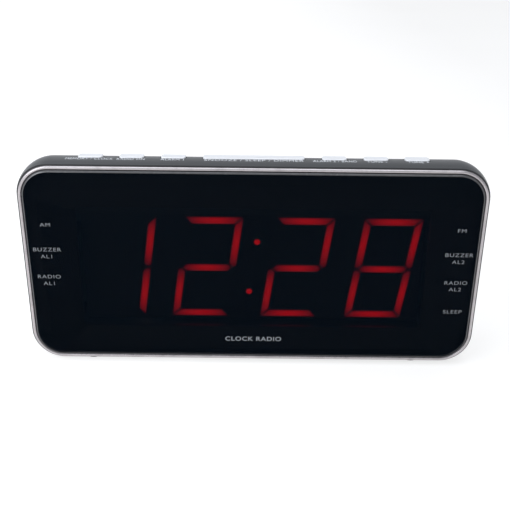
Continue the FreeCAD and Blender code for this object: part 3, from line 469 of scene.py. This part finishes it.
def join(name, meshes):
    """One mesh from several, which are left as they are."""
    bm = bmesh.new()
    for mesh in meshes:
        bm.from_mesh(mesh)
    joined = bpy.data.meshes.new(name)
    bm.to_mesh(joined)
    bm.free()
    smooth(joined)
    return joined


def quarter(steps):
    """(cos, sin) pairs over a quarter turn."""
    angles = [math.pi / 2 * k / steps for k in range(steps + 1)]
    return [(math.cos(angle), math.sin(angle)) for angle in angles]


# ---- lens and bead ------------------------------------------------------------------------

CORNER_STEPS = 24
EDGE_SOFTNESS = 0.08 * MM  # width of the rounding at both edges of the lens bevel
LENS_BACK_CHAMFER = 0.3 * MM
LENS_FACE_BORDER = 3 * MM  # a ring of faces inside the bevel keeps the shading of the face flat
MASK_CORNER = LENS_CORNER - 0.5 * MM
OPENING_SIDE = 0.5 * MM  # margins of the mask's opening round the display block
OPENING_BELOW = 0.8 * MM
OPENING_ABOVE = 3.2 * MM  # more above, so that the digits stay clear when seen from above
OPENING_CORNER = 1.5 * MM
BEAD_GAP = 0.05 * MM
BEAD_ROUNDING = 0.48  # of the bead's width, at each side
BEAD_STEEPNESS = 1.25  # its depth, as a share of the rounding


def front_loop(inset, y, width=LENS_WIDTH, height=LENS_HEIGHT, corner=LENS_CORNER):
    """A rounded rectangle facing the front, drawn in by inset, at this y."""
    points = rounded_loop(width - 2 * inset, height - 2 * inset, corner - inset, CORNER_STEPS)
    return [(a, y, LENS_MID_Z + b) for a, b in points]


def lens_window():
    """The lens, flat in front, its bevel softened at both edges. The sides have their own finish."""
    soft = EDGE_SOFTNESS
    rows = [
        front_loop(LENS_BACK_CHAMFER, LENS_BACK_Y),
        front_loop(0, LENS_BACK_Y - LENS_BACK_CHAMFER),
        front_loop(0, LENS_FACE_Y + LENS_BEVEL + soft),
        front_loop(soft * 0.4, LENS_FACE_Y + LENS_BEVEL),
        front_loop(LENS_BEVEL - soft * 0.2, LENS_FACE_Y + soft * 0.3),
        front_loop(LENS_BEVEL + soft, LENS_FACE_Y),
    ]
    edge_faces = len(rows[0]) * (len(rows) - 1)
    rows.append(front_loop(LENS_BEVEL + LENS_FACE_BORDER, LENS_FACE_Y))
    mesh = skin("lens_window", rows)
    window = add_piece("lens_window", mesh, "case", "lens", ["front_lens"])
    window.data.materials.append(FINISHES["edge"].material)
    for face in mesh.polygons[:edge_faces]:
        face.material_index = 1


def lens_mask():
    """The black print and tape behind the lens, open in front of the display."""
    low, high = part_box("lens_tape")
    block_low, block_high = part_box("display_housing")
    outer = rounded_loop(high.x - low.x, high.z - low.z, MASK_CORNER, CORNER_STEPS)
    width = block_high.x - block_low.x + 2 * OPENING_SIDE
    bottom, top = block_low.z - OPENING_BELOW, block_high.z + OPENING_ABOVE
    rise = (bottom + top) / 2 - LENS_MID_Z
    opening = rounded_loop(width, top - bottom, OPENING_CORNER, CORNER_STEPS)
    opening = [(a, b + rise) for a, b in opening]
    rows = []
    for points, y in ((outer, low.y), (opening, low.y), (opening, high.y), (outer, high.y)):
        rows.append([(a, y, LENS_MID_Z + b) for a, b in points])
    mesh = skin("lens_mask", rows, ring=True)
    add_piece("lens_mask", mesh, "case", "mask", ["lens_tape"])


def silver_bead():
    """The half-round bead round the lens."""
    low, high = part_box("front_frame")
    width, height = high.x - low.x, high.z - low.z
    across = (width - LENS_WIDTH) / 2 - BEAD_GAP
    corner = LENS_CORNER + BEAD_GAP + across
    side = across * BEAD_ROUNDING
    turns = [(side * (1 - c), low.y + side * BEAD_STEEPNESS * (1 - s)) for c, s in quarter(8)]
    profile = [(0, high.y)] + turns
    profile += [(across - inset, y) for inset, y in turns[::-1]] + [(across, high.y)]
    rows = [front_loop(inset, y, width, height, corner) for inset, y in profile]
    mesh = skin("silver_bead", rows, ring=True)
    add_piece("silver_bead", mesh, "case", "bead", ["front_frame"])


lens_window()
lens_mask()
silver_bead()


# ---- push buttons -------------------------------------------------------------------------

CAP_CORNER = 1.2 * MM
CAP_LEAST_CORNER = 0.15 * MM
CAP_EDGE = 0.38 * MM  # radius of the rounded top edge
CAP_DISH = 0.10 * MM  # depth of the hollow in the top
CAP_LEAN = 0.13 * MM  # rise of the top from front to back
CAP_SUNK = 0.1 * MM  # how far the cap reaches into its flange
DISH_STEPS = 4
DISH_STEP = 0.09  # of the cap's depth
FLANGE_OVERHANG = 1.1 * MM
FLANGE_DROP = 2.3 * MM  # from the crest of the deck to the top of the flange
FLANGE_PROFILE = ((0.1, -1.0), (0, -0.9), (0, -0.1), (0.1, 0))  # inset and height in millimetres
STEM_SIDE = 3.2 * MM
STEM_CORNER = 0.3 * MM
STEM_CHAMFER = 0.2 * MM
STEM_SUNK = 0.5 * MM  # how far the stem reaches into the flange


def level_loop(middle, width, depth, corner, z, lean=0.0):
    """A rounded rectangle seen from above. With a lean, its back stands higher than its front."""
    points = rounded_loop(width, depth, corner, 8)
    return [(middle.x + a, middle.y + b, z + lean * b) for a, b in points]


def cap_mesh(name, low, high):
    """A key cap with softly rounded edges and a slightly dished top, on its flange and stem."""
    middle = (low + high) / 2
    width = high.x - low.x - 2 * FLANGE_OVERHANG
    depth = high.y - low.y - 2 * FLANGE_OVERHANG
    lean = CAP_LEAN / depth
    top = high.z - CAP_LEAN / 2
    flange_top = CREST_Z - FLANGE_DROP
    profile = []
    for c, s in quarter(6):
        inset = CAP_EDGE * (1 - c)
        profile.append((inset, CAP_CORNER - inset * 0.6, top - CAP_EDGE * (1 - s)))
    for k in range(1, DISH_STEPS + 1):
        inset = CAP_EDGE + depth * DISH_STEP * k
        corner = max(CAP_LEAST_CORNER, CAP_CORNER - inset * 0.8)
        profile.append((inset, corner, top - CAP_DISH * (1 - (1 - k / DISH_STEPS) ** 2)))
    cap = [level_loop(middle, width, depth, CAP_CORNER, flange_top - CAP_SUNK)]
    for inset, corner, z in profile:
        cap.append(level_loop(middle, width - 2 * inset, depth - 2 * inset, corner, z, lean))
    flange = []
    for inset, z in FLANGE_PROFILE:
        grow = 2 * (FLANGE_OVERHANG - inset * MM)
        flange.append(level_loop(middle, width + grow, depth + grow, CAP_CORNER, flange_top + z * MM))
    stem = []
    for side, z in ((STEM_SIDE - STEM_CORNER, low.z), (STEM_SIDE, low.z + STEM_CHAMFER),
                    (STEM_SIDE, flange_top - STEM_SUNK)):
        stem.append(level_loop(middle, side, side, STEM_CORNER, z))
    parts = (("cap", cap), ("flange", flange), ("stem", stem))
    return join(name, [skin(f"{name}_{part}", loops) for part, loops in parts])


for name in sorted(nodes):
    if name.endswith("_button"):
        key = name.replace("button", "key")
        add_piece(key, cap_mesh(key, *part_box(name)), name, "key", [name])


# ---- display ------------------------------------------------------------------------------

SEGMENT_SLICES = 40
FRONT_STRIPS = 4  # across the front of a segment
END_MARGIN = 0.0005  # of a segment's length, left off so that the last slice isn't a point
GLOW_FALL = 1.05  # how fast the glow fades towards the ends
SIDE_FADE = 0.6  # how much of it is lost at the long sides
BACK_GLOW = 0.5
DOT_RADIUS = 1.3 * MM
DOT_SIDES = 32


def solids_of(node):
    """The corners of each separate solid of a CAD node."""
    bm = bmesh.new()
    bm.from_mesh(nodes[node].data)
    bmesh.ops.remove_doubles(bm, verts=bm.verts[:], dist=1e-6)
    solids, seen = [], set()
    for vert in bm.verts:
        if vert.index in seen:
            continue
        group, queue = [], [vert]
        seen.add(vert.index)
        while queue:
            v = queue.pop()
            group.append(v)
            for edge in v.link_edges:
                other = edge.other_vert(v)
                if other.index not in seen:
                    seen.add(other.index)
                    queue.append(other)
        solids.append([v.co.copy() for v in group])
    bm.free()
    return solids


def fine_glow(name, node):
    """The solids of a CAD node in fine slices, with a glow attribute that fades to their ends."""
    out = bmesh.new()
    layer = out.verts.layers.float.new("glow")
    for corners in solids_of(node):
        add_segment(out, layer, corners)
    return to_mesh(name, out)


def hull_order(points):
    """The corners of a flat convex outline, in order about their middle."""
    mx = sum(p[0] for p in points) / len(points)
    mz = sum(p[1] for p in points) / len(points)
    return sorted(points, key=lambda p: math.atan2(p[1] - mz, p[0] - mx))


def span_at(outline, axis, at):
    """Where a line across this axis enters and leaves a convex outline."""
    crossings = []
    for a, b in zip(outline, outline[1:] + outline[:1]):
        if (a[axis] - at) * (b[axis] - at) <= 0 and a[axis] != b[axis]:
            share = (at - a[axis]) / (b[axis] - a[axis])
            crossings.append(a[1 - axis] + share * (b[1 - axis] - a[1 - axis]))
    return min(crossings), max(crossings)


def add_segment(out, layer, corners):
    """Slice the outline across its long axis and skin the slices, front, sides and back."""
    y_front = min(c.y for c in corners)
    y_back = max(c.y for c in corners)
    flat = hull_order({(round(c.x, 6), round(c.z, 6)) for c in corners if c.y < y_front + 1e-5})
    wide = max(p[0] for p in flat) - min(p[0] for p in flat)
    tall = max(p[1] for p in flat) - min(p[1] for p in flat)
    upright = tall > wide
    axis = 1 if upright else 0
    low = min(p[axis] for p in flat)
    high = max(p[axis] for p in flat)
    rows = []
    for i in range(SEGMENT_SLICES + 1):
        t = END_MARGIN + (1 - 2 * END_MARGIN) * i / SEGMENT_SLICES
        at = low + (high - low) * t
        near, far = span_at(flat, axis, at)
        glow = math.sin(math.pi * t) ** GLOW_FALL
        places = []
        for k in range(FRONT_STRIPS + 1):
            share = 1 - (2 * k / FRONT_STRIPS - 1) ** 2 * SIDE_FADE
            places.append((near + (far - near) * k / FRONT_STRIPS, y_front, share))
        places += [(far, y_back, BACK_GLOW), (near, y_back, BACK_GLOW)]
        row = []
        for across, y, share in places:
            x, z = (across, at) if upright else (at, across)
            vert = out.verts.new((x, y, z))
            vert[layer] = glow * share
            row.append(vert)
        rows.append(row)
    bridge(out, rows)


def dot_mesh(name, node):
    """The colon: round lamps with a domed front, brightest in the middle."""
    low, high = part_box(node)
    profile = (  # share of the radius, y and glow, from the back to the middle of the front
        (1.0, high.y, 0.2),
        (1.0, low.y + 0.2 * MM, 0.75),
        (0.92, low.y + 0.05 * MM, 0.85),
        (0.6, low.y, 0.95),
        (0.3, low.y, 1.0),
    )
    out = bmesh.new()
    layer = out.verts.layers.float.new("glow")
    for x, z in ((high.x - DOT_RADIUS, high.z - DOT_RADIUS), (low.x + DOT_RADIUS, low.z + DOT_RADIUS)):
        rows = []
        for share, y, glow in profile:
            row = []
            for i in range(DOT_SIDES):
                turn = 2 * math.pi * i / DOT_SIDES
                r = share * DOT_RADIUS
                vert = out.verts.new((x + r * math.cos(turn), y, z + r * math.sin(turn)))
                vert[layer] = glow
                row.append(vert)
            rows.append(row)
        bridge(out, rows)
    mesh = to_mesh(name, out)
    smooth(mesh)
    return mesh


for name, node, make in (("glowing_segments", "segments_lit", fine_glow),
                         ("glowing_colon", "colon_dots", dot_mesh)):
    add_piece(name, make(name, node), "case", "lit", [node])


# ---- printed words ------------------------------------------------------------------------

CAPITAL_SHARE = 0.7  # height of a capital letter, of the size of the font
PRINT_THICKNESS = 0.01 * MM
LENS_PRINT_STAND = 0.004 * MM  # the middle of the print in front of the lens face
DECK_PRINT_STAND = 0.012 * MM
DECK_PRINT_HEIGHT = 2.2 * MM
DECK_PRINT_GAP = 0.35 * MM  # between the words and the front of the keys
SMALL_PRINT = (1.62 * MM, 1.25, 1.15, -0.012 * MM)  # height, stretch, spacing and boldness
TITLE_PRINT = (2.0 * MM, 1.15, 1.12, 0.04 * MM)
LENS_WORDS = (  # word, then x and z in millimetres from the middle of the lens
    ("AM", -84.0, 18.6), ("BUZZER", -84.3, 7.7), ("AL1", -84.5, 4.6), ("RADIO", -84.5, -4.5),
    ("AL1", -84.5, -7.6), ("FM", 84.5, 17.9), ("BUZZER", 84.5, 7.2), ("AL2", 84.5, 4.1),
    ("RADIO", 84.5, -5.4), ("AL2", 84.5, -8.4), ("SLEEP", 84.5, -18.9),
)
DECK_WORDS = (  # key, word and how far the word is stretched
    ("preset", "MEMORY / CLOCK", 0.68), ("mode", "RADIO ON", 0.68), ("alarm_one", "ALARM 1", 0.72),
    ("snooze", "SNOOZE / SLEEP / DIMMER", 0.98), ("alarm_two", "ALARM 2 / BAND", 0.68),
    ("tune_down", "TUNE -", 0.75), ("tune_up", "TUNE +", 0.75),
)


def word_mesh(text, cap_height, stretch, spacing=1.1, bold=0.0):
    """A printed word, centred on the origin, in the XY plane."""
    curve = bpy.data.curves.new("word", "FONT")
    curve.body = text
    curve.size = cap_height / CAPITAL_SHARE
    curve.space_character = spacing
    curve.align_x = "CENTER"
    curve.align_y = "CENTER"
    curve.offset = bold
    curve.extrude = PRINT_THICKNESS
    word = bpy.data.objects.new("word", curve)
    bpy.context.scene.collection.objects.link(word)
    bpy.context.view_layer.update()
    evaluated = word.evaluated_get(bpy.context.evaluated_depsgraph_get())
    mesh = bpy.data.meshes.new_from_object(evaluated)
    bpy.data.objects.remove(word)
    mesh.transform(Matrix.Diagonal((stretch, 1, 1, 1)))
    return mesh


def lens_words():
    """Function names beside the display, on the lens, and a plain title below it."""
    upright = Matrix.Rotation(math.pi / 2, 4, "X")
    meshes = []
    words = [(text, x, z, SMALL_PRINT) for text, x, z in LENS_WORDS]
    for text, x, z, style in words + [("CLOCK RADIO", 0.5, -33.0, TITLE_PRINT)]:
        mesh = word_mesh(text, *style)
        place = Vector((x * MM, LENS_FACE_Y - LENS_PRINT_STAND, LENS_MID_Z + z * MM))
        mesh.transform(Matrix.Translation(place) @ upright)
        meshes.append(mesh)
    add_piece("lens_print", join("lens_print", meshes), "case", "print")


def deck_words():
    """Function names on the arched deck, just in front of the keys."""
    meshes = []
    for key, text, stretch in DECK_WORDS:
        low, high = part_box(key + "_button")
        mesh = word_mesh(text, DECK_PRINT_HEIGHT, stretch)
        y = low.y + FLANGE_OVERHANG - DECK_PRINT_GAP - DECK_PRINT_HEIGHT / 2
        tilt = Matrix.Rotation(deck_slope(y), 4, "X")
        place = Vector(((low.x + high.x) / 2, y, deck_z(y) + DECK_PRINT_STAND))
        mesh.transform(Matrix.Translation(place) @ tilt)
        meshes.append(mesh)
    add_piece("deck_print", join("deck_print", meshes), "case", "deck_print")


lens_words()
deck_words()


# ---- studio -------------------------------------------------------------------------------

DAYLIGHT = (0.94, 0.97, 1.02)
SKY_LEFT, SKY_RIGHT = 0.92, 0.58  # strength of the surround
FLOOR_GLOW_LEFT, FLOOR_GLOW_RIGHT = 0.80, 0.66
FLOOR_FADE_START, FLOOR_FADE_END = -0.1, 0.3  # x between which the floor's glow changes
FLOOR_REACH = 6.0
LAMPS = (  # name, place, size and power
    ("overhead", (0.0, 0.05, 0.9), 0.8, 2.8),
    ("left_front", (-0.5, -0.42, 0.42), 0.5, 2.8),
)


def soft_lamp(name, place, size, power):
    """A square lamp aimed at the middle of the clock."""
    light = bpy.data.lights.new(name, "AREA")
    light.color = DAYLIGHT
    light.energy = power
    light.size = size
    lamp = bpy.data.objects.new(name, light)
    lamp.location = place
    aim = Vector((0, 0, LENS_MID_Z)) - Vector(place)
    lamp.rotation_euler = aim.to_track_quat("-Z", "Y").to_euler()
    bpy.context.scene.collection.objects.link(lamp)


def surround():
    """A bright even studio, a little darker to the right."""
    world = bpy.data.worlds.new("surround")
    world.use_nodes = True
    tree = world.node_tree
    background = tree.nodes["Background"]
    background.inputs["Color"].default_value = (*DAYLIGHT, 1)
    place = tree.nodes.new("ShaderNodeTexCoord")
    split = tree.nodes.new("ShaderNodeSeparateXYZ")
    spread = tree.nodes.new("ShaderNodeMapRange")
    spread.inputs["From Min"].default_value = -0.8
    spread.inputs["From Max"].default_value = 0.8
    spread.inputs["To Min"].default_value = SKY_LEFT
    spread.inputs["To Max"].default_value = SKY_RIGHT
    tree.links.new(place.outputs["Generated"], split.inputs["Vector"])
    tree.links.new(split.outputs["X"], spread.inputs["Value"])
    tree.links.new(spread.outputs["Result"], background.inputs["Strength"])
    bpy.context.scene.world = world


def light_table():
    """A translucent white table lit from below, so shadows stay faint. It is dimmer to the right."""
    f = Finish("light_table", (0.32, 0.32, 0.32), 0.9, Specular_IOR_Level=0.1)
    f.tint(f.noise(0.3, 2.0), (0.34, 0.34, 0.34))
    f.set("Emission Color", (1.0, 1.0, 1.0, 1.0))
    split = f.add("ShaderNodeSeparateXYZ")
    f.link(f.place, split.inputs["Vector"])
    glow = f.spread(split.outputs["X"], FLOOR_GLOW_LEFT, FLOOR_GLOW_RIGHT,
                    FLOOR_FADE_START, FLOOR_FADE_END)
    f.link(glow, f.shader.inputs["Emission Strength"])
    return f


def studio():
    """A pale floor, a bright even surround and large soft lamps."""
    bm = bmesh.new()
    bmesh.ops.create_grid(bm, x_segments=8, y_segments=8, size=FLOOR_REACH)
    mesh = bpy.data.meshes.new("floor")
    bm.to_mesh(mesh)
    bm.free()
    floor = bpy.data.objects.new("floor", mesh)
    bpy.context.scene.collection.objects.link(floor)
    floor.data.materials.append(light_table().material)
    surround()
    for name, place, size, power in LAMPS:
        soft_lamp(name, place, size, power)
    bpy.context.scene.view_settings.view_transform = "Standard"


studio()
